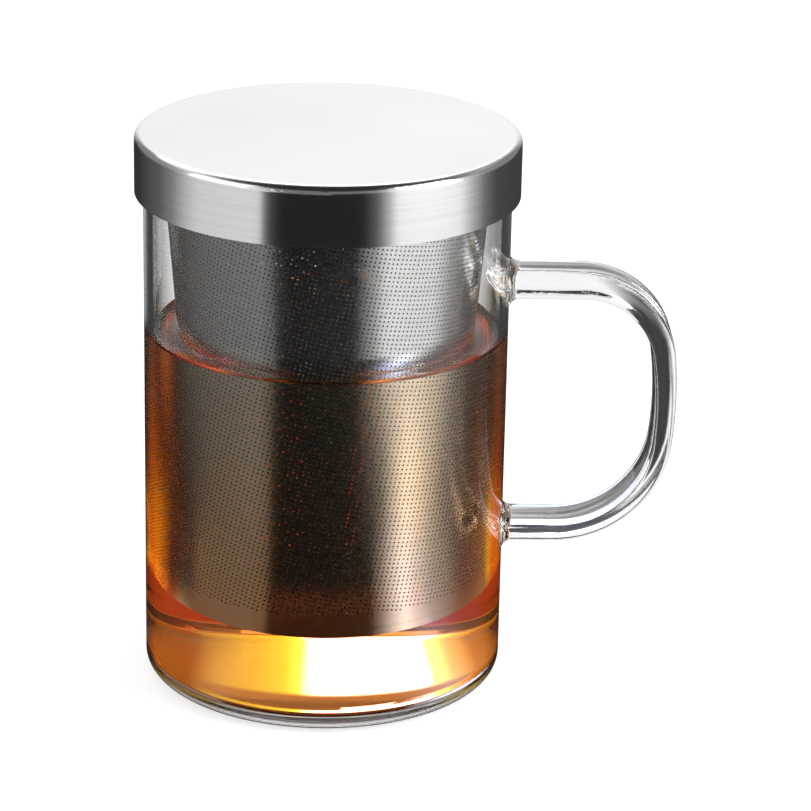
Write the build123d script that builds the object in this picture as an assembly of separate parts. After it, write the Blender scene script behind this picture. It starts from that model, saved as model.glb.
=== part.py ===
"""Lidded glass tea mug with a lift-out infuser.

A straight borosilicate mug with a welded strap handle carries a steel infuser.
The infuser hangs by its flange on the mug's lip, and a steel cap lid sits on that flange.
Millimetres, +Z up. The origin is the centre of the mug's base, and the handle points along +X.
"""

import os
from math import asin, cos, degrees, hypot, isclose, radians, sin

from build123d import *

# Glass mug
MUG_DIAMETER = 84.0
MUG_HEIGHT = 129.3
GLASS_WALL = 2.1
GLASS_FLOOR = 3.0
BASE_CORNER = 4.0
FLOOR_CORNER = 3.0
LIP_ROUND = 0.7

# Strap handle, measured to the middle of its section
HANDLE_TOP = 95.9
HANDLE_DROP = 60.2
HANDLE_REACH = 78.9
STRAP_WIDTH = 12.6
TOP_THICKNESS = 6.7
TOP_ROUND = 2.7
GRIP_THICKNESS = 4.8
GRIP_ROUND = 1.4
LOW_THICKNESS = 5.2
LOW_ROUND = 1.5
SHOULDER_RADIUS = 19.3
HEEL_RADIUS = 24.9
GRIP_RADIUS = 91.0
GRIP_LEAN = 7.4
WELD_FLARE = 2.4

# Infuser
INFUSER_DEPTH = 109.3
INFUSER_BOTTOM_DIAMETER = 58.0
INFUSER_GAP = 1.9
SLEEVE_SHEET = 0.4
SEAM_WIDTH = 3.0
SEAM_AZIMUTH = 90.0
BASE_SHEET = 0.5
BASE_WALL = 4.0
BASE_BEND = 1.0
RIM_SHEET = 0.5
RIM_COLLAR = 10.0
RIM_BEND = 1.0
RIM_LIP = 3.0
RIM_CLEARANCE = 0.3

# Lid
LID_DEPTH = 13.8
LID_SHEET = 0.8
LID_BEND = 1.8
LID_CLEARANCE = 0.4

# Sizes that follow from those above
mug_radius = MUG_DIAMETER / 2
bore_radius = mug_radius - GLASS_WALL
sleeve_top_radius = bore_radius - INFUSER_GAP
sleeve_bottom_radius = INFUSER_BOTTOM_DIAMETER / 2
infuser_bottom = MUG_HEIGHT - INFUSER_DEPTH
sleeve_slope = (sleeve_top_radius - sleeve_bottom_radius) / INFUSER_DEPTH
rim_top = MUG_HEIGHT + RIM_SHEET
rim_lip_radius = mug_radius + RIM_CLEARANCE + RIM_SHEET
lid_radius = rim_lip_radius + LID_CLEARANCE + LID_SHEET
lid_top = rim_top + LID_SHEET


def sleeve_radius(height):
    """Outer radius of the tapered sleeve at a height above the table."""
    return sleeve_bottom_radius + sleeve_slope * (height - infuser_bottom)


def turned(outline):
    """A full turn of a flat outline drawn as radius and height."""
    return revolve(Plane.XZ * outline, Axis.Z)


def pressed(points, bend, sheet, side):
    """A turned sheet part. The points run along one face, and the sheet lies on the given side."""
    face_line = FilletPolyline(*points, radius=bend)
    return turned(make_face(offset(face_line, sheet, kind=Kind.INTERSECTION, side=side)))


def make_glass_body():
    """The mug without its handle: flat base, rounded heel and a fire-polished lip."""
    blank = Pos(0, 0, MUG_HEIGHT / 2) * Cylinder(mug_radius, MUG_HEIGHT)
    blank = fillet(blank.edges().sort_by(Axis.Z)[0], BASE_CORNER)
    bore_height = MUG_HEIGHT - GLASS_FLOOR
    bore = Pos(0, 0, GLASS_FLOOR + bore_height / 2) * Cylinder(bore_radius, bore_height)
    bore = fillet(bore.edges().sort_by(Axis.Z)[0], FLOOR_CORNER)
    body = blank - bore
    return fillet(body.edges().filter_by(GeomType.CIRCLE).group_by(Axis.Z)[-1], LIP_ROUND)


def handle_line():
    """The middle line of the strap: shoulder, bowed grip and heel as three tangent arcs."""
    lean = radians(GRIP_LEAN)
    bow = HANDLE_DROP - SHOULDER_RADIUS * (1 - sin(lean)) - GRIP_RADIUS * sin(lean)
    tuck = asin((bow - HEEL_RADIUS) / (GRIP_RADIUS - HEEL_RADIUS))
    shoulder_x = HANDLE_REACH - GRIP_RADIUS * (1 - cos(lean)) - SHOULDER_RADIUS * cos(lean)
    top_run = Line((bore_radius, HANDLE_TOP), (shoulder_x, HANDLE_TOP))
    shoulder = JernArc(top_run @ 1, top_run % 1, SHOULDER_RADIUS, GRIP_LEAN - 90)
    grip = JernArc(shoulder @ 1, shoulder % 1, GRIP_RADIUS, -GRIP_LEAN - degrees(tuck))
    heel = JernArc(grip @ 1, grip % 1, HEEL_RADIUS, degrees(tuck) - 90)
    low_run = Line(heel @ 1, (bore_radius, (heel @ 1).Y))
    return Plane.XZ * Wire([top_run, shoulder, grip, heel, low_run])


def strap_section(run, share, thickness, corner):
    """The strap's rounded section, drawn across a run of its middle line at a share of its length."""
    across = Plane(origin=run @ share, x_dir=(0, 1, 0), z_dir=run % share)
    return across * RectangleRounded(STRAP_WIDTH, thickness, corner)


def make_strap():
    """The bare strap: full and round along the top, and pressed flatter from the grip on."""
    line = handle_line()
    top_run, shoulder, grip, heel, low_run = line.order_edges()
    sections = (
        strap_section(top_run, 0, TOP_THICKNESS, TOP_ROUND),
        strap_section(shoulder, 0, TOP_THICKNESS, TOP_ROUND),
        strap_section(grip, 0.5, GRIP_THICKNESS, GRIP_ROUND),
        strap_section(heel, 0.5, GRIP_THICKNESS, GRIP_ROUND),
        strap_section(low_run, 1, LOW_THICKNESS, LOW_ROUND),
    )
    return sweep(sections, path=line, multisection=True)


def on_mug_wall(edge):
    """True for an edge on the side of the mug where the handle is, clear of its rims."""
    middle = edge.center()
    at_wall = isclose(hypot(middle.X, middle.Y), mug_radius, abs_tol=GLASS_WALL / 10)
    return at_wall and middle.X > 0 and 0 < middle.Z < MUG_HEIGHT


def make_glass_handle():
    """The strap handle, with both ends flared on to the mug's wall."""
    core = Pos(0, 0, MUG_HEIGHT / 2) * Rot(0, 0, 180) * Cylinder(mug_radius, MUG_HEIGHT)
    fused = core + make_strap()
    return fillet(fused.edges().filter_by(on_mug_wall), WELD_FLARE) - core


def make_infuser_sleeve():
    """The tapered sheet wall, rolled up and lapped along one seam."""
    low = infuser_bottom
    high = MUG_HEIGHT - RIM_BEND
    outer_low = (sleeve_radius(low), low)
    outer_high = (sleeve_radius(high), high)
    inner_high = (sleeve_radius(high) - SLEEVE_SHEET, high)
    inner_low = (sleeve_radius(low) - SLEEVE_SHEET, low)
    wall = turned(make_face(Polyline(outer_low, outer_high, inner_high, inner_low, close=True)))
    lap_low = (sleeve_radius(low) + SLEEVE_SHEET, low)
    lap_high = (sleeve_radius(high) + SLEEVE_SHEET, high)
    lap = make_face(Polyline(inner_low, inner_high, lap_high, lap_low, close=True))
    lap_angle = degrees(SEAM_WIDTH / sleeve_top_radius)
    return wall + Rot(0, 0, SEAM_AZIMUTH - lap_angle / 2) * revolve(Plane.XZ * lap, Axis.Z, lap_angle)


def make_infuser_base():
    """The pressed bottom, with a short wall turned up inside the sleeve."""
    low = infuser_bottom
    high = low + BASE_WALL
    points = (
        (0, low),
        (sleeve_radius(low) - SLEEVE_SHEET, low),
        (sleeve_radius(high) - SLEEVE_SHEET, high),
    )
    return pressed(points, BASE_BEND, BASE_SHEET, Side.LEFT)


def make_infuser_rim():
    """The drawn ring: a collar inside the sleeve, a flange on the mug's lip and a turned-down edge."""
    low = MUG_HEIGHT - RIM_COLLAR
    points = (
        (sleeve_radius(low) - SLEEVE_SHEET, low),
        (sleeve_radius(MUG_HEIGHT) - SLEEVE_SHEET, MUG_HEIGHT),
        (mug_radius + RIM_CLEARANCE, MUG_HEIGHT),
        (mug_radius + RIM_CLEARANCE, MUG_HEIGHT - RIM_LIP),
    )
    return pressed(points, RIM_BEND, RIM_SHEET, Side.LEFT)


def make_lid_cap():
    """The drawn cap: a flat top and a deep skirt round the mug's lip."""
    points = (
        (0, lid_top),
        (lid_radius, lid_top),
        (lid_radius, lid_top - LID_DEPTH),
    )
    return pressed(points, LID_BEND, LID_SHEET, Side.RIGHT)


def main():
    nodes = {
        "glass_body": make_glass_body(),
        "glass_handle": make_glass_handle(),
        "infuser_sleeve": make_infuser_sleeve(),
        "infuser_base": make_infuser_base(),
        "infuser_rim": make_infuser_rim(),
        "lid_cap": make_lid_cap(),
    }
    os.makedirs("parts", exist_ok=True)
    for name, shape in nodes.items():
        export_step(shape, f"parts/{name}.step")


main()
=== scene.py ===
"""Looks of the lidded glass tea mug with a lift-out steel infuser.

Metres, +Z up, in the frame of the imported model. The mug's body, the lid, and the infuser's ring and
bottom keep their CAD shapes. The perforated sleeve, the fused handle and the tea are made here.
"""

from math import atan, atan2, cos, exp, hypot, pi, radians, sin

import bmesh
import bpy
from mathutils import Matrix, Vector


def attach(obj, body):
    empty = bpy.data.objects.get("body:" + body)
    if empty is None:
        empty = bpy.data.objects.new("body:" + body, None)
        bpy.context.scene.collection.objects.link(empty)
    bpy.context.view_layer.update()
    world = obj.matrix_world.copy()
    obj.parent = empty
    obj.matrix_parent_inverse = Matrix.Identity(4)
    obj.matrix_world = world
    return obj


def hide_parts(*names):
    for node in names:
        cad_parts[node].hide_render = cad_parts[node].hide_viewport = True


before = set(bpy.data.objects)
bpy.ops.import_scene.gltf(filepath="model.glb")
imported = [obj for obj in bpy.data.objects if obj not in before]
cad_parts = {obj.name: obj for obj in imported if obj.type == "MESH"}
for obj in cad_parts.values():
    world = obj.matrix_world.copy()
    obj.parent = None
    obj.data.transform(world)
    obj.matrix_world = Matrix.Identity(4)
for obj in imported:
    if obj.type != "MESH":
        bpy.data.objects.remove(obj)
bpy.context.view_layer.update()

MM = 0.001
SHARP_EDGE = radians(35)
SAME_POINT = 0.0001 * MM
SAME_CAD_POINT = 0.001 * MM

# Mug
MUG_RADIUS = 42.0 * MM
BORE_RADIUS = 39.9 * MM
GLASS_FLOOR = 3.0 * MM
FLOOR_CORNER = 3.0 * MM
HANDLE_SINK = 0.3 * MM
WELD_TOLERANCE = 0.03 * MM

# Infuser
SLEEVE_LOW = 20.0 * MM
SLEEVE_HIGH = 128.3 * MM
SLEEVE_LOW_RADIUS = 29.0 * MM
SLEEVE_SLOPE = 9.0 / 109.3
SLEEVE_SHEET = 0.4 * MM
SLEEVE_BANDS = 6
SEAM_WIDTH = 3.0 * MM
SEAM_RAMP = 1.2 * MM
SEAM_LIFT = SLEEVE_SHEET * 1.05
SEAM_MARGIN = 4.0 * MM
HOLE_PITCH = 1.05 * MM
HOLE_DIAMETER = 0.48 * MM
HOLE_SIDES = 8
SAME_HOLE_POINT = HOLE_PITCH / 50
HOLES_LOW = 25.4 * MM
HOLES_HIGH = 117.6 * MM
LATTICE_LEAN = radians(12.0)
LATTICE_COLUMNS = 256
LATTICE_ROWS = 144
ROWS_BELOW_MIDDLE = 82

# Tea
TEA_LEVEL = 82.9 * MM
TEA_OVERLAP = 0.15 * MM
TEA_CLIMB_GLASS = 2.0 * MM
TEA_CLIMB_STEEL = 1.2 * MM
TEA_CLIMB_REACH = 1.6 * MM
TEA_CORNER_STEPS = 8
TEA_GAP_STEPS = 16
TEA_INNER_STEPS = 8
TEA_INNER_REACH = 6.0 * MM
TEA_STEPS = 180

# Finishes
GLASS_TINT = (0.985, 0.992, 0.99)
GLASS_IOR = 1.474
TEA_IOR = 1.333
TEA_DENSITY = 56.0
TEA_COLOUR = (0.935, 0.64, 0.214)
LID_SHADE = (0.86, 0.86, 0.85)
INFUSER_SHADE = (0.80, 0.79, 0.78)
GRAIN_SCALE = (14.0, 14.0, 4000.0)
GRAIN_BUMP = 0.02 * MM
TONE_SCALE = (10.0, 10.0, 1200.0)
TONE_DARKEST = 0.9
NOISE_ROUGHNESS = 0.6
NOISE_SPAN = (0.2, 0.8)
QUARTER_TURN = 0.25
TOP_STARTS = (0.8, 0.95)
OUTSIDE_STARTS = (0.6, 0.8)

# Camera
CAMERA_PLACE = (0.0, -0.7385, 0.3397)
CAMERA_DOWN = 0.3565
CAMERA_RIGHT = 0.0253
CAMERA_ROLL = 0.0212
CAMERA_LENS = 150.14
CAMERA_SENSOR = 36.0
CAMERA_NEAR = 0.01
CAMERA_FAR = 50.0

# Studio. Stops run round the object from the back, each an azimuth and a level or colour.
# Azimuth 0 is the camera's side, and 90 is the handle's.
FLOOR_SIZE = 24.0
FLOOR_DROP = 0.3 * MM
FLOOR_PAINT = (0.5, 0.5, 0.5)
FLOOR_GLOW = 0.70
WHITE = (1.0, 1.0, 1.0)
PLAIN_WORLD = (0.6, 0.6, 0.6)
NEARLY_BLACK = (0.015, 0.015, 0.015)

# Painted light and shade on the floor as the glass, the tea and the steel behind them show it, in
# rings round the object.
# Painted patches of light on the floor, left and right, seen only through glass.
LEFT_PAINTED_LIGHT = (0.27, 0.22, 0.18)
RIGHT_PAINTED_LIGHT = (2.2, 2.6, 4.0)
FOOT_IN_GLASS = (
    (-180, 0.6),
    (-155, 0.6),
    (-135, 1.0),
    (-118, 1.2),
    (-106, 0.7),
    (-97, LEFT_PAINTED_LIGHT),
    (-40, LEFT_PAINTED_LIGHT),
    (-36, 0.01),
    (31, 0.01),
    (40, (0.45, 0.5, 0.7)),
    (57, RIGHT_PAINTED_LIGHT),
    (81, (0.7, 0.75, 0.9)),
    (92, 0.5),
    (125, 0.6),
    (150, 0.4),
    (180, 0.6),
)
NEAR_IN_GLASS = (
    (-180, 0.5),
    (-165, 0.45),
    (-150, 0.25),
    (-134, 0.05),
    (-106, 0.05),
    (-97, LEFT_PAINTED_LIGHT),
    (-40, LEFT_PAINTED_LIGHT),
    (-36, 0.01),
    (33, 0.01),
    (41, (0.45, 0.5, 0.7)),
    (57, RIGHT_PAINTED_LIGHT),
    (67, (1.2, 1.3, 1.9)),
    (79, (0.5, 0.52, 0.6)),
    (92, 0.35),
    (112, 0.15),
    (135, 0.3),
    (152, 0.3),
    (163, 0.6),
    (180, 0.5),
)
MIDDLE_IN_GLASS = (
    (-180, 0.9),
    (-167, 0.8),
    (-156, 0.25),
    (-150, 0.02),
    (-118, 0.02),
    (-88, 0.17),
    (-52, 0.25),
    (-40, 0.22),
    (-36, 0.01),
    (34, 0.01),
    (42, 0.1),
    (50, 0.9),
    (58, 2.0),
    (66, 1.8),
    (78, 0.9),
    (90, 0.3),
    (104, 0.06),
    (157, 0.03),
    (165, 0.35),
    (180, 0.9),
)
FAR_IN_GLASS = (
    (-180, 1.0),
    (-165, 1.0),
    (-155, 0.05),
    (-125, 0.05),
    (-80, 0.15),
    (-38, 0.2),
    (-35, 0.05),
    (-26, 0.01),
    (20, 0.02),
    (34, 0.45),
    (41, 1.0),
    (80, 0.9),
    (95, 0.3),
    (113, 0.06),
    (158, 0.05),
    (167, 1.0),
    (180, 1.0),
)
RINGS_IN_GLASS = (
    (0.055, NEAR_IN_GLASS),
    (0.09, MIDDLE_IN_GLASS),
    (0.137, FAR_IN_GLASS),
)
RING_SPREAD = 1.2

# Painted light that the tea throws on that floor, seen through the mug: a painted pool of orange
# light, a painted gleam on the left and painted bright edges on both sides.
PAINTED_TEA_LIGHT = (
    (-180, 1.0),
    (-128, 1.0),
    (-112, 0.0),
    (96, 0.0),
    (110, 0.6),
    (128, 0.6),
    (138, 0.15),
    (152, 0.15),
    (166, 1.0),
    (180, 1.0),
)
PAINTED_TEA_LIGHT_ENDS = (0.2, 0.23)
PAINTED_TEA_LIGHT_COLOUR = (1.0, 0.25, 0.02)
# Painted gleam on the floor at the left, seen only through the mug.
PAINTED_TEA_GLEAM = ((-180, 0.0), (-152, 0.0), (-144, 0.9), (-136, 0.9), (-126, 0.0), (180, 0.0))
PAINTED_TEA_GLEAM_STARTS = (0.15, 0.165)
# Painted bright edges of the tea on both sides, as floor light seen through the mug.
PAINTED_EDGE_GLOW = (
    (-180, (1.1, 1.9, 0.0)),
    (-165, (1.4, 3.1, 0.0)),
    (-150, (0.75, 1.5, 0.0)),
    (-134, 0.0),
    (135, 0.0),
    (152, (0.3, 0.2, 0.0)),
    (163, (1.6, 3.0, 0.0)),
    (180, (1.1, 1.9, 0.0)),
)
PAINTED_EDGE_GLOW_STARTS = (0.055, 0.066)
PAINTED_EDGE_GLOW_ENDS = (0.09, 0.12)

# Painted light and shade of the floor and world, as bare steel and the outside of the glass show them.
IN_GLOSS = (
    (-180, 0.03),
    (-145, 0.03),
    (-112, 0.11),
    (-99, 0.24),
    (-89, 0.5),
    (-79, 0.72),
    (-38, 0.82),
    (-36, 0.15),
    (-32, 0.04),
    (-26, 0.01),
    (20, 0.01),
    (28, 0.1),
    (34, 0.45),
    (40, 1.1),
    (80, 1.0),
    (90, 0.5),
    (101, 0.17),
    (113, 0.065),
    (180, 0.035),
)
BACK_IN_GLOSS = ((-180, 1.0), (-165, 1.0), (-152, 0.0), (152, 0.0), (165, 1.0), (180, 1.0))
BACK_STARTS = (0.5, 0.9)
BACK_ON_FLOOR = 0.75
GLOSS_STARTS = (0.14, 0.38)
GLOSS_HORIZON = (0.42, 0.62)
FILL = 0.2
DARK_SIDE = (0.12, -0.70, 0.70)
DARK_EDGE = (0.10, 0.56)

# The world through the mug with painted amber light at the sides, its ceiling, and a painted glow seen
# along the tea.
LOW_IN_GLASS = (
    (-180, 1.0),
    (-150, 1.0),
    (-140, (1.2, 0.8, 0.05)),
    (-112, (0.8, 0.4, 0.03)),
    (-97, 0.2),
    (-40, 0.2),
    (-36, 0.02),
    (31, 0.02),
    (48, 1.0),
    (80, 0.9),
    (98, 0.8),
    (112, (0.6, 0.28, 0.02)),
    (149, (0.65, 0.36, 0.03)),
    (158, 1.0),
    (180, 1.0),
)
CEILING = ((-180, 1.0), (100, 0.8), (120, 0.45), (146, 0.45), (155, 0.8), (180, 1.0))
CEILING_STARTS = (0.47, 0.53)
GLOW_PEAK = (40.0, 40.0, 130.0)
GLOW = (
    (-180, GLOW_PEAK),
    (-162, GLOW_PEAK),
    (-156, (10.0, 11.0, 6.0)),
    (-150, (2.2, 2.8, 1.0)),
    (-144, (1.1, 1.3, 0.1)),
    (-138, 0.0),
    (150, 0.0),
    (157, (0.4, 0.9, 0.15)),
    (167, (1.3, 2.8, 0.35)),
    (173, (2.6, 5.2, 0.6)),
    (176, (8.0, 10.0, 4.0)),
    (180, GLOW_PEAK),
)
GLOW_STARTS = (0.29, 0.33)
GLOW_ENDS = (0.64, 0.74)

# Counts of surfaces that light has crossed: more than the first in the mug, but not in the handle,
# and more than the second only on its long way through the tea.
HANDLE_WALLS = 2.5
TEA_WALLS = 8.5

# Lamps: azimuth, elevation, distance, width and height, and power
SOFTBOXES = {
    "right_softbox": (64, 25, 1.3, (0.7, 1.0), 14.0),
    "left_softbox": (-68, 25, 1.3, (0.9, 1.0), 3.0),
    "back_softbox": (-168, 48, 1.15, (1.1, 0.5), 2.5),
}
LAMP_TARGET = (0.0, 0.0, 70.0 * MM)
MOST_BOUNCES = 20
MOST_GLINTS = 8


# ---------------------------------------------------------------- nodes

# The sockets of a Mix node that blends colours, and of one that blends vectors.
FIRST_COLOUR, SECOND_COLOUR, MIXED_COLOUR = 6, 7, 2
FIRST_VECTOR, SECOND_VECTOR, MIXED_VECTOR = 4, 5, 1


def node(tree, kind, links=None, **settings):
    """A node with its settings, and its inputs given as values or as another node's output."""
    made = tree.nodes.new(kind)
    for key, value in settings.items():
        setattr(made, key, value)
    for key, value in (links or {}).items():
        if isinstance(value, bpy.types.NodeSocket):
            tree.links.new(value, made.inputs[key])
        else:
            made.inputs[key].default_value = value
    return made


def maths(tree, operation, *values):
    """A math node's output, with each input given as a value or as another node's output."""
    return node(tree, "ShaderNodeMath", dict(enumerate(values)), operation=operation).outputs[0]


def ranged(tree, source, low, high, start=0.0, end=1.0, way="SMOOTHSTEP"):
    """A value that runs from start to end as its source runs from low to high, and holds outside."""
    limits = {"From Min": low, "From Max": high, "To Min": start, "To Max": end}
    made = node(tree, "ShaderNodeMapRange", {"Value": source, **limits}, interpolation_type=way)
    return made.outputs["Result"]


def mixed(tree, factor, first, second, way="MIX"):
    """Two colours blended, added or multiplied, each given as a colour or as another node's output."""
    blend = node(tree, "ShaderNodeMix", {"Factor": factor}, data_type="RGBA", blend_type=way)
    for place, shade in ((FIRST_COLOUR, first), (SECOND_COLOUR, second)):
        if isinstance(shade, bpy.types.NodeSocket):
            tree.links.new(shade, blend.inputs[place])
        else:
            blend.inputs[place].default_value = (*shade, 1.0)
    return blend.outputs[MIXED_COLOUR]


def parts_of(tree, vector):
    """The X, Y and Z of a vector."""
    return node(tree, "ShaderNodeSeparateXYZ", {0: vector}).outputs


# ---------------------------------------------------------------- materials


def material(name):
    """A new node material, with its tree and its shader."""
    made = bpy.data.materials.new(name)
    made.use_nodes = True
    tree = made.node_tree
    return made, tree, tree.nodes["Principled BSDF"]


def streaks(tree, scale, detail, seed):
    """Noise drawn out round the piece, as a polishing belt leaves it."""
    place = node(tree, "ShaderNodeTexCoord").outputs["Object"]
    drawn_out = {"Vector": place, "Scale": scale, "Location": (seed, seed, seed)}
    stretched = node(tree, "ShaderNodeMapping", drawn_out).outputs["Vector"]
    marks = {"Vector": stretched, "Scale": 1.0, "Detail": detail, "Roughness": NOISE_ROUGHNESS}
    return node(tree, "ShaderNodeTexNoise", marks).outputs["Fac"]


def grain_direction(tree):
    """The way the polishing belt ran: round an upright wall, and straight across a flat top."""
    round_axis = node(tree, "ShaderNodeTangent", direction_type="RADIAL", axis="Z")
    surface = node(tree, "ShaderNodeNewGeometry")
    upward = parts_of(tree, surface.outputs["Normal"])["Z"]
    is_top = ranged(tree, upward, *TOP_STARTS, way="LINEAR")
    way = node(tree, "ShaderNodeMix", {"Factor": is_top}, data_type="VECTOR")
    tree.links.new(round_axis.outputs["Tangent"], way.inputs[FIRST_VECTOR])
    way.inputs[SECOND_VECTOR].default_value = (1.0, 0.0, 0.0)
    return way.outputs[MIXED_VECTOR]


def facing_out(tree):
    """1 where the surface faces away from the object's axis, 0 across it and -1 towards it."""
    surface = node(tree, "ShaderNodeNewGeometry")
    level = {0: surface.outputs["Position"], 1: (1.0, 1.0, 0.0)}
    outward = node(tree, "ShaderNodeVectorMath", level, operation="MULTIPLY").outputs[0]
    unit = node(tree, "ShaderNodeVectorMath", {0: outward}, operation="NORMALIZE").outputs[0]
    pair = {0: unit, 1: surface.outputs["Normal"]}
    return node(tree, "ShaderNodeVectorMath", pair, operation="DOT_PRODUCT").outputs["Value"]


def brushed_steel(name, shade, rough, anisotropy, depth, inner_rough=None):
    """Stainless steel with fine grain that runs round the piece, and duller inside if so told."""
    made, tree, shader = material(name)
    fine = streaks(tree, GRAIN_SCALE, detail=5.0, seed=3.1)
    broad = streaks(tree, TONE_SCALE, detail=3.0, seed=7.7)
    darkest = [part * TONE_DARKEST for part in shade]
    tone = mixed(tree, ranged(tree, broad, *NOISE_SPAN), darkest, shade)
    tree.links.new(tone, shader.inputs["Base Color"])
    finish = ranged(tree, fine, *NOISE_SPAN, *rough)
    if inner_rough:
        dull = ranged(tree, facing_out(tree), *OUTSIDE_STARTS, inner_rough, 0.0, way="LINEAR")
        finish = maths(tree, "MAXIMUM", finish, dull)
    tree.links.new(finish, shader.inputs["Roughness"])
    shader.inputs["Metallic"].default_value = 1.0
    shader.inputs["Anisotropic"].default_value = anisotropy
    shader.inputs["Anisotropic Rotation"].default_value = QUARTER_TURN
    tree.links.new(grain_direction(tree), shader.inputs["Tangent"])
    bump = node(tree, "ShaderNodeBump", {"Height": fine, "Strength": depth, "Distance": GRAIN_BUMP})
    tree.links.new(bump.outputs["Normal"], shader.inputs["Normal"])
    return made


def clear(name, tint, ior):
    """A smooth clear material, with its tree."""
    made, tree, shader = material(name)
    shader.inputs["Base Color"].default_value = (*tint, 1.0)
    shader.inputs["Transmission Weight"].default_value = 1.0
    shader.inputs["Roughness"].default_value = 0.0
    shader.inputs["IOR"].default_value = ior
    return made, tree


def clear_glass():
    """Borosilicate glass."""
    made, _ = clear("clear_borosilicate", GLASS_TINT, GLASS_IOR)
    return made


def brewed_tea():
    """Clear amber tea, coloured by its depth."""
    made, tree = clear("brewed_tea", WHITE, TEA_IOR)
    depth = node(tree, "ShaderNodeVolumeAbsorption", {"Density": TEA_DENSITY})
    depth.inputs["Color"].default_value = (*TEA_COLOUR, 1.0)
    tree.links.new(depth.outputs["Volume"], tree.nodes["Material Output"].inputs["Volume"])
    return made


def dress(name, finish):
    """Gives a CAD node its finish."""
    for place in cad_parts[name].material_slots:
        place.material = finish


# ---------------------------------------------------------------- mesh helpers


def piece(name, bm, finish, body, replaced=()):
    """Makes an object from a bmesh, gives it its finish and sets it on its body."""
    mesh = bpy.data.meshes.new(name)
    bm.to_mesh(mesh)
    bm.free()
    mesh.shade_smooth()
    mesh.set_sharp_from_angle(angle=SHARP_EDGE)
    mesh.materials.append(finish)
    made = bpy.data.objects.new(name, mesh)
    bpy.context.scene.collection.objects.link(made)
    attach(made, body)
    if replaced:
        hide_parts(*replaced)
    return made


def turned(outline, steps):
    """A full turn about the Z axis of an outline drawn as radius and height."""
    bm = bmesh.new()
    points = [bm.verts.new((radius, 0, height)) for radius, height in outline]
    edges = [bm.edges.new(pair) for pair in zip(points, points[1:])]
    bmesh.ops.spin(
        bm,
        geom=points + edges,
        axis=(0, 0, 1),
        cent=(0, 0, 0),
        angle=2 * pi,
        steps=steps,
        use_merge=True,
    )
    bmesh.ops.remove_doubles(bm, verts=bm.verts, dist=SAME_POINT)
    bmesh.ops.recalc_face_normals(bm, faces=bm.faces)
    return bm


# ---------------------------------------------------------------- tea


def climb(height, away):
    """How far the tea stands up at a distance from a wall that it climbs to a height."""
    return height * exp(-away / TEA_CLIMB_REACH)


def tea_outline():
    """The tea's section: up the bore from the floor, over the climbing edge, and in to the middle."""
    corner = FLOOR_CORNER + TEA_OVERLAP
    points = [(0.0, GLASS_FLOOR - TEA_OVERLAP)]
    for i in range(TEA_CORNER_STEPS + 1):
        turn = radians(90) * i / TEA_CORNER_STEPS
        radius = BORE_RADIUS - FLOOR_CORNER + corner * sin(turn)
        points.append((radius, GLASS_FLOOR + FLOOR_CORNER - corner * cos(turn)))
    points.append((BORE_RADIUS + TEA_OVERLAP, TEA_LEVEL + TEA_CLIMB_GLASS))
    steel = sleeve_radius(TEA_LEVEL)
    gap = BORE_RADIUS - steel
    for i in range(TEA_GAP_STEPS + 1):
        from_glass = gap * i / TEA_GAP_STEPS
        rise = climb(TEA_CLIMB_GLASS, from_glass) + climb(TEA_CLIMB_STEEL, gap - from_glass)
        points.append((BORE_RADIUS - from_glass, TEA_LEVEL + rise))
    for i in range(TEA_INNER_STEPS + 1):
        from_steel = TEA_INNER_REACH * i / TEA_INNER_STEPS
        rise = climb(TEA_CLIMB_STEEL, from_steel)
        points.append((steel - SLEEVE_SHEET - from_steel, TEA_LEVEL + rise))
    points.append((0.0, TEA_LEVEL))
    return points


def make_tea():
    """The tea, which fills the mug up to its level and stays in it when the infuser is lifted."""
    piece("tea", turned(tea_outline(), TEA_STEPS), brewed_tea(), "mug")


# ---------------------------------------------------------------- infuser


def sleeve_radius(height):
    """Outer radius of the tapered sleeve at a height above the table."""
    return SLEEVE_LOW_RADIUS + SLEEVE_SLOPE * (height - SLEEVE_LOW)


# The sleeve's cone, and the flat blank that it is rolled from.
taper = atan(SLEEVE_SLOPE)
apex_height = SLEEVE_LOW - SLEEVE_LOW_RADIUS / SLEEVE_SLOPE


def slant(height):
    """Distance from the cone's point to a height, along the sheet."""
    return (height - apex_height) / cos(taper)


slant_low = slant(SLEEVE_LOW)
slant_high = slant(SLEEVE_HIGH)
slant_middle = (slant_low + slant_high) / 2
sheet_end = pi * sin(taper) + SEAM_WIDTH / 2 / slant_middle


def on_blank(lattice):
    """A point of the leaning hole lattice as its turn round the cone's point and its slant."""
    x = lattice.x * cos(LATTICE_LEAN) + lattice.y * sin(LATTICE_LEAN)
    y = lattice.y * cos(LATTICE_LEAN) - lattice.x * sin(LATTICE_LEAN) + slant_middle
    return atan2(x, y), hypot(x, y)


def cell_middle(point):
    """The middle of the lattice cell that a point lies in."""
    column, row = point.x // HOLE_PITCH, point.y // HOLE_PITCH
    return Vector(((column + 0.5) * HOLE_PITCH, (row + 0.5) * HOLE_PITCH, 0))


def is_perforated(turn, reach):
    """True where the blank has holes: clear of its plain edges and of its two ends."""
    clear_of_ends = abs(turn) * reach < sheet_end * reach - SEAM_MARGIN
    return clear_of_ends and slant(HOLES_LOW) < reach < slant(HOLES_HIGH)


def is_plain(turn, reach):
    """True where the blank has no holes, and less than a cell outside it."""
    inside = slant_low - HOLE_PITCH < reach < slant_high + HOLE_PITCH
    on_sheet = inside and abs(turn) < sheet_end + HOLE_PITCH / slant_low
    return on_sheet and not is_perforated(turn, reach)


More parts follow.
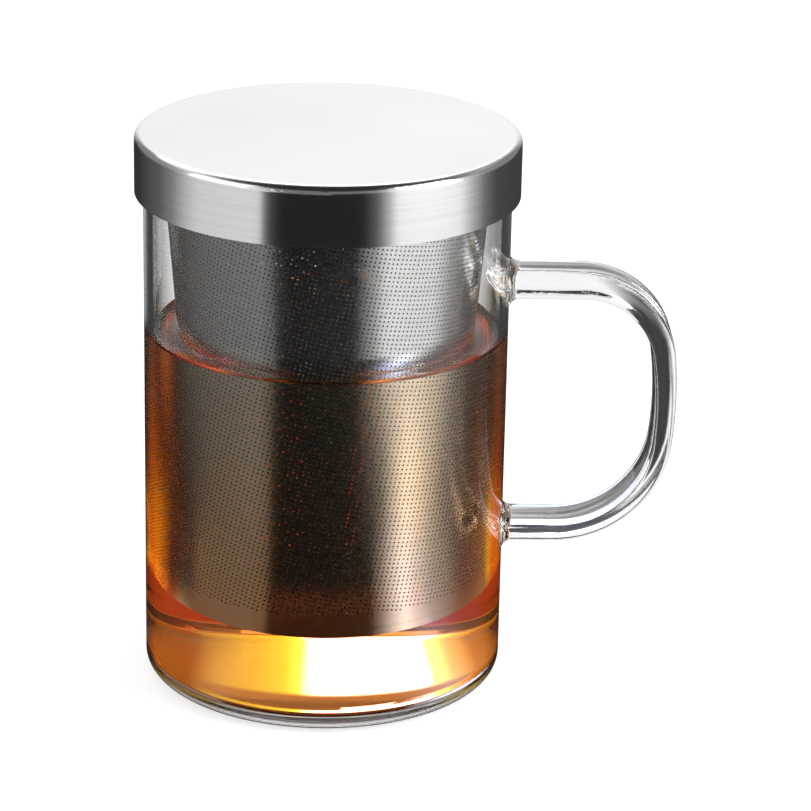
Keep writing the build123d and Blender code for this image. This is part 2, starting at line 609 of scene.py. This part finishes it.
def hole_cell():
    """One square cell of sheet round one hole."""
    bm = bmesh.new()
    bmesh.ops.create_circle(bm, segments=HOLE_SIDES, radius=HOLE_DIAMETER / 2)
    bmesh.ops.create_circle(
        bm,
        segments=4,
        radius=HOLE_PITCH / 2**0.5,
        matrix=Matrix.Rotation(radians(45), 4, "Z"),
    )
    bmesh.ops.bridge_loops(bm, edges=bm.edges)
    bmesh.ops.translate(bm, verts=bm.verts, vec=(HOLE_PITCH / 2, HOLE_PITCH / 2, 0))
    return bm


def plain_cell():
    """One square cell of sheet with no hole."""
    bm = bmesh.new()
    bmesh.ops.create_grid(bm, x_segments=1, y_segments=1, size=HOLE_PITCH / 2)
    bmesh.ops.translate(bm, verts=bm.verts, vec=(HOLE_PITCH / 2, HOLE_PITCH / 2, 0))
    return bm


def repeat(bm, step, count):
    """Repeats the mesh along a step, twice as many each time, until it is there so many times."""
    done = 1
    while done < count:
        more = min(done, count - done)
        end = more * step.length_squared
        first = [f for f in bm.faces if f.calc_center_median().dot(step) < end]
        copy = bmesh.ops.duplicate(bm, geom=first)["geom"]
        moved = [e for e in copy if isinstance(e, bmesh.types.BMVert)]
        bmesh.ops.translate(bm, verts=moved, vec=step * done)
        done += more


def cells(bm, wanted):
    """The cell repeated over the lattice, which covers the leaning blank, where it is wanted."""
    repeat(bm, Vector((HOLE_PITCH, 0, 0)), LATTICE_COLUMNS)
    repeat(bm, Vector((0, HOLE_PITCH, 0)), LATTICE_ROWS)
    corner = Vector((-LATTICE_COLUMNS / 2, -ROWS_BELOW_MIDDLE, 0)) * HOLE_PITCH
    bmesh.ops.translate(bm, verts=bm.verts, vec=corner)
    lost = [f for f in bm.faces if not wanted(*on_blank(cell_middle(f.calc_center_median())))]
    bmesh.ops.delete(bm, geom=lost, context="FACES")
    return bm


def perforated_lattice():
    """The holes' cells and the plain cells round them, still flat and on the lattice."""
    bm = cells(plain_cell(), is_plain)
    perforated = cells(hole_cell(), is_perforated)
    holes = bpy.data.meshes.new("holes")
    perforated.to_mesh(holes)
    perforated.free()
    bm.from_mesh(holes)
    bpy.data.meshes.remove(holes)
    bmesh.ops.remove_doubles(bm, verts=bm.verts, dist=SAME_HOLE_POINT)
    return bm


def lattice_band(whole, low, high):
    """The rows of the lattice between two rows, trimmed to the blank, with the sheet's thickness."""
    bm = whole.copy()
    lost = [f for f in bm.faces if not low <= f.calc_center_median().y < high]
    bmesh.ops.delete(bm, geom=lost, context="FACES")
    for v in bm.verts:
        turn, reach = on_blank(v.co)
        v.co = Vector((turn * slant_middle, reach, 0))
    end = sheet_end * slant_middle
    for place, facing in (
        ((0, slant_low, 0), (0, -1, 0)),
        ((0, slant_high, 0), (0, 1, 0)),
        ((-end, 0, 0), (-1, 0, 0)),
        ((end, 0, 0), (1, 0, 0)),
    ):
        bmesh.ops.bisect_plane(
            bm,
            geom=bm.verts[:] + bm.edges[:] + bm.faces[:],
            dist=SAME_POINT,
            plane_co=place,
            plane_no=facing,
            clear_outer=True,
        )
    for f in bm.faces:
        if f.normal.z < 0:
            f.normal_flip()
    bmesh.ops.solidify(bm, geom=bm.faces[:], thickness=SLEEVE_SHEET)
    return bm


def rolled(bm):
    """Rolls the flat blank up into the cone, with one end lapped over the other."""
    outer = max(v.co.z for v in bm.verts)
    lap_start = sheet_end * slant_middle - SEAM_WIDTH
    for v in bm.verts:
        ramp = min(max((v.co.x - lap_start + SEAM_RAMP) / SEAM_RAMP, 0.0), 1.0)
        out = v.co.z - outer + SEAM_LIFT * ramp * ramp * (3 - 2 * ramp)
        round_axis = v.co.x / slant_middle / sin(taper)
        radius = v.co.y * sin(taper) + out * cos(taper)
        height = apex_height + v.co.y * cos(taper) - out * sin(taper)
        v.co = Vector((radius * sin(round_axis), -radius * cos(round_axis), height))
    return bm


def make_sleeve(finish):
    """The perforated sleeve, in bands so that no piece grows too heavy."""
    whole = perforated_lattice()
    rows = [f.calc_center_median().y for f in whole.faces]
    lowest = min(rows) - HOLE_PITCH
    step = (max(rows) + HOLE_PITCH - lowest) / SLEEVE_BANDS
    for i in range(SLEEVE_BANDS):
        low = round((lowest + i * step) / HOLE_PITCH) * HOLE_PITCH
        high = round((lowest + (i + 1) * step) / HOLE_PITCH) * HOLE_PITCH
        band = rolled(lattice_band(whole, low, high))
        name = f"perforated_sleeve_{i + 1}"
        piece(name, band, finish, "infuser", ["infuser_sleeve"])
    whole.free()


# ---------------------------------------------------------------- handle


def make_handle(finish):
    """The strap handle, with its ends sunk a little into the mug's wall, as fused glass is."""
    bm = bmesh.new()
    bm.from_mesh(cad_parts["glass_handle"].data)
    bmesh.ops.remove_doubles(bm, verts=bm.verts, dist=SAME_CAD_POINT)
    for v in bm.verts:
        if hypot(v.co.x, v.co.y) < MUG_RADIUS + WELD_TOLERANCE:
            v.co.x -= HANDLE_SINK
    piece("fused_handle", bm, finish, "mug", ["glass_handle"])


# ---------------------------------------------------------------- studio


def round_about(tree, place, stops):
    """A colour that runs round the object through its stops, each an azimuth and a level or colour."""
    x, y, _ = parts_of(tree, place)
    turn = maths(tree, "ARCTAN2", x, maths(tree, "MULTIPLY", y, -1.0))
    share = maths(tree, "MULTIPLY_ADD", turn, 0.5 / pi, 0.5)
    ramp = node(tree, "ShaderNodeValToRGB", {"Fac": share})
    marks = ramp.color_ramp.elements
    for i, (azimuth, shade) in enumerate(stops):
        is_end = i in (0, len(stops) - 1)
        mark = marks[i] if is_end else marks.new(azimuth / 360 + 0.5)
        mark.color = (*shade, 1.0) if isinstance(shade, tuple) else (shade, shade, shade, 1.0)
    return ramp.outputs["Color"]


def far_out(tree, place):
    """Distance from the object's axis."""
    x, y, _ = parts_of(tree, place)
    return maths(tree, "SQRT", maths(tree, "MULTIPLY_ADD", x, x, maths(tree, "MULTIPLY", y, y)))


def more_walls(tree, ray, count):
    """1 for light that has crossed more surfaces of glass and tea than a count."""
    return maths(tree, "GREATER_THAN", ray.outputs["Transmission Depth"], count)


def floor_in_glass(tree, ray, place):
    """The painted light and shade that the glass, the tea and the steel behind them show of the floor,
    ring by ring, with the tea's painted light on it.
    """
    reach = far_out(tree, place)
    shade = round_about(tree, place, FOOT_IN_GLASS)
    for start, stops in RINGS_IN_GLASS:
        edge = ranged(tree, reach, start, start * RING_SPREAD)
        shade = mixed(tree, edge, shade, round_about(tree, place, stops))
    in_painted_pool = maths(tree, "SUBTRACT", 1.0, ranged(tree, reach, *PAINTED_TEA_LIGHT_ENDS))
    in_painted_pool = maths(tree, "MULTIPLY", in_painted_pool, more_walls(tree, ray, HANDLE_WALLS))
    # Painted gleam on the left.
    painted_gleam = maths(tree, "MULTIPLY", in_painted_pool, ranged(tree, reach, *PAINTED_TEA_GLEAM_STARTS))
    shade = mixed(tree, painted_gleam, shade, round_about(tree, place, PAINTED_TEA_GLEAM), "ADD")
    # Painted bright edges on both sides.
    starts = ranged(tree, reach, *PAINTED_EDGE_GLOW_STARTS)
    ends = ranged(tree, reach, *PAINTED_EDGE_GLOW_ENDS)
    edge = maths(tree, "MULTIPLY", in_painted_pool, maths(tree, "SUBTRACT", starts, ends))
    shade = mixed(tree, edge, shade, round_about(tree, place, PAINTED_EDGE_GLOW), "ADD")
    # Painted pool of orange light: the floor near the mug, seen through it, multiplied by orange.
    tint = maths(tree, "MULTIPLY", in_painted_pool, round_about(tree, place, PAINTED_TEA_LIGHT))
    return mixed(tree, tint, shade, PAINTED_TEA_LIGHT_COLOUR, "MULTIPLY")


def low_in_gloss(tree, place, back):
    """The painted light and shade that bare steel and the outside of the glass show of the sides, with
    a share of the back.
    """
    sides = round_about(tree, place, IN_GLOSS)
    return mixed(tree, back, sides, round_about(tree, place, BACK_IN_GLOSS), "ADD")


def floor_in_gloss(tree, place):
    """The floor in gloss, with a painted shadow close to the object, so that its glass is clear and
    has dark edges.
    """
    reach = far_out(tree, place)
    back = maths(tree, "MULTIPLY", ranged(tree, reach, *BACK_STARTS), BACK_ON_FLOOR)
    lit = low_in_gloss(tree, place, back)
    return mixed(tree, ranged(tree, reach, *GLOSS_STARTS), NEARLY_BLACK, lit)


def emission(tree, colour, strength=1.0):
    """A shader that gives off a colour."""
    return node(tree, "ShaderNodeEmission", {"Color": colour, "Strength": strength}).outputs[0]


def either(tree, factor, first, second):
    """One of two shaders."""
    return node(tree, "ShaderNodeMixShader", {0: factor, 1: first, 2: second}).outputs[0]


def pale_floor():
    """Pale paint that is white to the camera, with painted light and shade that only gloss and glass
    show.
    """
    finish = bpy.data.materials.new("pale_floor")
    finish.use_nodes = True
    tree = finish.node_tree
    tree.nodes.clear()
    ray = node(tree, "ShaderNodeLightPath")
    place = node(tree, "ShaderNodeTexCoord").outputs["Object"]
    paint = node(tree, "ShaderNodeBsdfDiffuse", {"Color": (*FLOOR_PAINT, 1.0)}).outputs[0]
    glow_level = maths(tree, "MULTIPLY", ray.outputs["Is Camera Ray"], FLOOR_GLOW)
    glow = emission(tree, (*WHITE, 1.0), glow_level)
    seen = node(tree, "ShaderNodeAddShader", {0: paint, 1: glow}).outputs[0]
    in_gloss = emission(tree, floor_in_gloss(tree, place))
    in_glass = emission(tree, floor_in_glass(tree, ray, place))
    seen = either(tree, ray.outputs["Is Glossy Ray"], seen, in_gloss)
    seen = either(tree, ray.outputs["Is Transmission Ray"], seen, in_glass)
    node(tree, "ShaderNodeOutputMaterial", {"Surface": seen})
    return finish


def make_floor():
    """A pale floor that keeps the object's shadow, plain to the camera, with painted light and shade
    in gloss and through glass.
    """
    bm = bmesh.new()
    bmesh.ops.create_grid(bm, x_segments=1, y_segments=1, size=FLOOR_SIZE / 2)
    bmesh.ops.translate(bm, verts=bm.verts, vec=(0, 0, -FLOOR_DROP))
    mesh = bpy.data.meshes.new("floor")
    bm.to_mesh(mesh)
    bm.free()
    mesh.materials.append(pale_floor())
    floor = bpy.data.objects.new("floor", mesh)
    bpy.context.scene.collection.objects.link(floor)


def glow_along_tea(tree, ray, up):
    """1 at the painted glow's height for light reflected once on its long way through the tea."""
    at_height = maths(tree, "SUBTRACT", ranged(tree, up, *GLOW_STARTS), ranged(tree, up, *GLOW_ENDS))
    reflected_once = maths(tree, "COMPARE", ray.outputs["Glossy Depth"], 1.0, 0.5)
    along_tea = maths(tree, "MULTIPLY", reflected_once, more_walls(tree, ray, TEA_WALLS))
    return maths(tree, "MULTIPLY", at_height, along_tea)


def make_world():
    """A white studio, with painted light and shade for gloss and glass: dark over the camera, and a
    strong soft painted glow low behind the object that only light reflected once along the tea sees.
    """
    world = bpy.data.worlds.new("studio")
    world.use_nodes = True
    bpy.context.scene.world = world
    tree = world.node_tree
    ray = node(tree, "ShaderNodeLightPath")
    heading = node(tree, "ShaderNodeTexCoord").outputs["Generated"]
    up = parts_of(tree, heading)["Z"]
    to_dark = node(tree, "ShaderNodeVectorMath", {0: heading, 1: DARK_SIDE}, operation="DOT_PRODUCT")
    dark = ranged(tree, to_dark.outputs["Value"], *DARK_EDGE)
    ceiling = mixed(tree, dark, round_about(tree, heading, CEILING), NEARLY_BLACK)
    sides = mixed(tree, FILL, low_in_gloss(tree, heading, 1.0), WHITE)
    in_gloss = mixed(tree, ranged(tree, up, *GLOSS_HORIZON), sides, ceiling)
    in_mug = more_walls(tree, ray, HANDLE_WALLS)
    # Painted amber light at the sides, seen through the mug.
    low = mixed(tree, in_mug, WHITE, round_about(tree, heading, LOW_IN_GLASS))
    in_glass = mixed(tree, ranged(tree, up, *CEILING_STARTS), low, ceiling)
    # Painted glow, seen only by light reflected once along the tea.
    glow = round_about(tree, heading, GLOW)
    in_glass = mixed(tree, glow_along_tea(tree, ray, up), in_glass, glow, "ADD")
    seen = mixed(tree, ray.outputs["Is Camera Ray"], PLAIN_WORLD, WHITE)
    seen = mixed(tree, ray.outputs["Is Glossy Ray"], seen, in_gloss)
    seen = mixed(tree, ray.outputs["Is Transmission Ray"], seen, in_glass)
    tree.links.new(seen, tree.nodes["Background"].inputs["Color"])


def make_softbox(name, azimuth, elevation, distance, size, power):
    """A soft lamp that faces the mug and isn't seen by the camera."""
    light = bpy.data.lights.new(name, "AREA")
    light.shape = "RECTANGLE"
    light.size, light.size_y = size
    light.energy = power
    lamp = bpy.data.objects.new(name, light)
    bpy.context.scene.collection.objects.link(lamp)
    a, e = radians(azimuth), radians(elevation)
    out = Vector((sin(a) * cos(e), -cos(a) * cos(e), sin(e)))
    lamp.location = out * distance + Vector(LAMP_TARGET)
    lamp.rotation_mode = "QUATERNION"
    lamp.rotation_quaternion = out.to_track_quat("Z", "Y")
    lamp.visible_camera = False


def make_camera():
    """The camera in front of the mug, a little above it."""
    data = bpy.data.cameras.new("camera")
    data.lens = CAMERA_LENS
    data.sensor_width = CAMERA_SENSOR
    data.clip_start, data.clip_end = CAMERA_NEAR, CAMERA_FAR
    camera = bpy.data.objects.new("camera", data)
    bpy.context.scene.collection.objects.link(camera)
    camera.matrix_world = (
        Matrix.Translation(CAMERA_PLACE)
        @ Matrix.Rotation(-CAMERA_RIGHT, 4, "Z")
        @ Matrix.Rotation(pi / 2 - CAMERA_DOWN, 4, "X")
        @ Matrix.Rotation(CAMERA_ROLL, 4, "Z")
    )
    bpy.context.scene.camera = camera


def make_studio():
    """World, floor and lamps, and the bounces that clear glass needs."""
    make_world()
    make_floor()
    for name, setting in SOFTBOXES.items():
        make_softbox(name, *setting)
    bpy.context.scene.view_settings.view_transform = "Standard"
    bpy.context.scene.cycles.max_bounces = MOST_BOUNCES
    bpy.context.scene.cycles.transmission_bounces = MOST_BOUNCES
    bpy.context.scene.cycles.glossy_bounces = MOST_GLINTS


# ---------------------------------------------------------------- the whole

glass = clear_glass()
lid_steel = brushed_steel(
    "lid_brushed_steel",
    LID_SHADE,
    rough=(0.16, 0.20),
    anisotropy=0.7,
    depth=0.03,
)
infuser_steel = brushed_steel(
    "infuser_steel",
    INFUSER_SHADE,
    rough=(0.17, 0.19),
    anisotropy=0.5,
    depth=0.01,
    inner_rough=0.8,
)

dress("glass_body", glass)
dress("lid_cap", lid_steel)
dress("infuser_rim", infuser_steel)
dress("infuser_base", infuser_steel)
make_handle(glass)
make_tea()
make_sleeve(infuser_steel)
make_camera()
make_studio()
